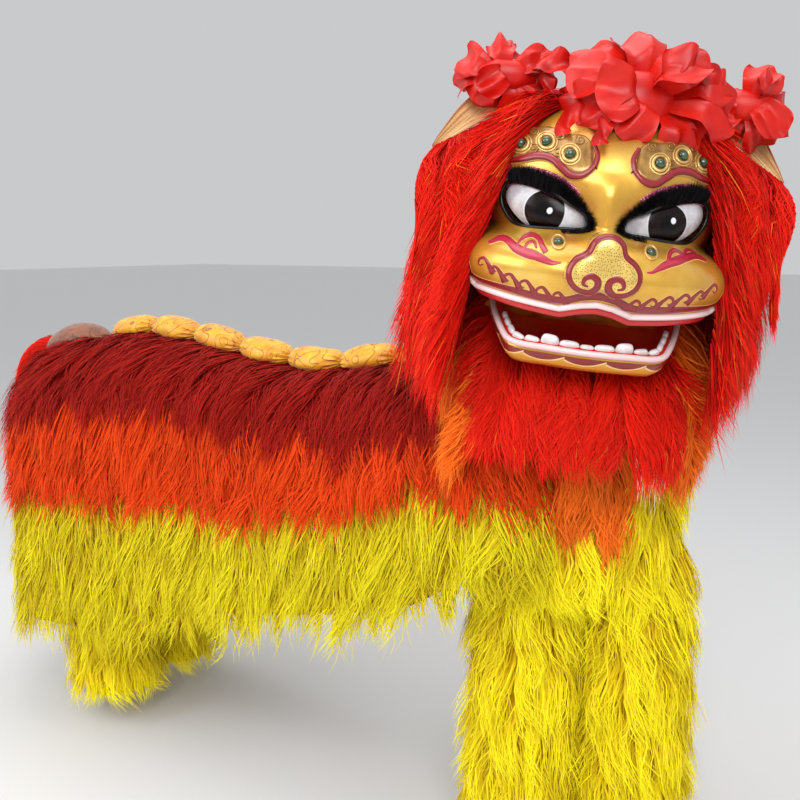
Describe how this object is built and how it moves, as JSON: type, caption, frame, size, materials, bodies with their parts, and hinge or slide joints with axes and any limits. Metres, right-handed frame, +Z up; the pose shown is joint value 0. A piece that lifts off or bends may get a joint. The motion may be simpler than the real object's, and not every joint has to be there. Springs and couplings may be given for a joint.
{
  "type": "lion dance costume",
  "caption": "Two-wearer northern lion dance costume: gold mask head with hinged jaw and blinking lids, red, orange and yellow furred skin, furred jacket and trousers.",
  "frame": {"origin": "the point inside the head where the front wearer carries it, 1.381 m above the floor the wearers stand on", "axes": "+X along the body from the rump towards the head, +Z up, -Y the side of the lion's right flank; the head is turned about 26 degrees towards -Y"},
  "size_m": [2.2769, 0.7402, 1.7407],
  "materials": {
    "gold_paint": "gold paint with maroon flames on moulded fibre",
    "gold_speckle": "pale gold paint with dark speckles",
    "maroon_paint": "maroon paint edged in gold",
    "stud_glass": "domed dark green glass",
    "mouth_red": "glossy red lining",
    "piping": "pale pink piping",
    "tooth_paint": "white paint",
    "eye_paint": "glossy white with a black iris",
    "lid_glitter": "magenta glitter",
    "black_fur": "short black fur",
    "gold_cloth": "streaked golden satin",
    "red_satin": "crumpled red satin",
    "red_fur": "long straight red fur",
    "orange_fur": "long straight orange fur",
    "yellow_fur": "long straight yellow fur",
    "red_cloth": "plain red backing cloth",
    "brocade": "brown brocade with a dark scroll",
    "yellow_satin": "yellow satin with thin brown scrolls"
  },
  "bodies": {
    "costume": {"head_shell": "gold_paint", "nose": "gold_speckle", "brow_crest_right": "maroon_paint", "brow_crest_left": "maroon_paint", "brow_stud_right_1": "stud_glass", "brow_stud_right_2": "stud_glass", "brow_stud_right_3": "stud_glass", "brow_stud_left_1": "stud_glass", "brow_stud_left_2": "stud_glass", "brow_stud_left_3": "stud_glass", "cheek_stud_right": "stud_glass", "cheek_stud_left": "stud_glass", "mouth_lining": "mouth_red", "lip_trim": "piping", "upper_fang_right": "tooth_paint", "upper_fang_left": "tooth_paint", "eyeball_right": "eye_paint", "eyeball_left": "eye_paint", "ear_right": "gold_cloth", "ear_left": "gold_cloth", "neck_cloth": "gold_cloth", "flower_centre": "red_satin", "flower_right": "red_satin", "flower_left": "red_satin", "mane": "red_fur", "ear_fur_right": "red_fur", "ear_fur_left": "red_fur", "chest_mane": "red_fur", "fur_red": "red_fur", "fur_orange": "orange_fur", "fur_yellow": "yellow_fur", "body_cloth": "red_cloth", "tail_fur": "red_fur", "tail_pad": "brocade", "jacket": "yellow_fur", "front_trousers": "yellow_fur", "rear_trousers": "yellow_fur", "spine_pad_1": "yellow_satin", "spine_pad_2": "yellow_satin", "spine_pad_3": "yellow_satin", "spine_pad_4": "yellow_satin", "spine_pad_5": "yellow_satin", "spine_pad_6": "yellow_satin", "spine_pad_7": "yellow_satin"},
    "lower_jaw": {"jaw": "gold_paint", "jaw_lining": "mouth_red", "jaw_trim": "piping", "lower_teeth": "tooth_paint"},
    "lid_right": {"eyelid_right": "lid_glitter", "lash_right": "black_fur"},
    "lid_left": {"eyelid_left": "lid_glitter", "lash_left": "black_fur"}
  },
  "joints": [
    {"name": "jaw", "type": "hinge", "parent": "costume", "child": "lower_jaw", "pos_m": [-0.01687, 0.01784, -0.06445], "axis": [0.893, 0.4355, -0.1132], "range_deg": [-12, 0]},
    {"name": "blink_right", "type": "hinge", "parent": "costume", "child": "lid_right", "pos_m": [-0.01443, -0.16678, 0.0748], "axis": [0.909, 0.0479, -0.4139], "range_deg": [0, 45], "stiffness_Nm_per_rad": 0.06, "springref_deg": -22.92},
    {"name": "blink_left", "type": "hinge", "parent": "costume", "child": "lid_left", "pos_m": [0.15345, -0.0849, 0.05352], "axis": [0.6618, 0.7183, 0.2148], "range_deg": [0, 45], "stiffness_Nm_per_rad": 0.06, "springref_deg": -22.92}
  ]
}
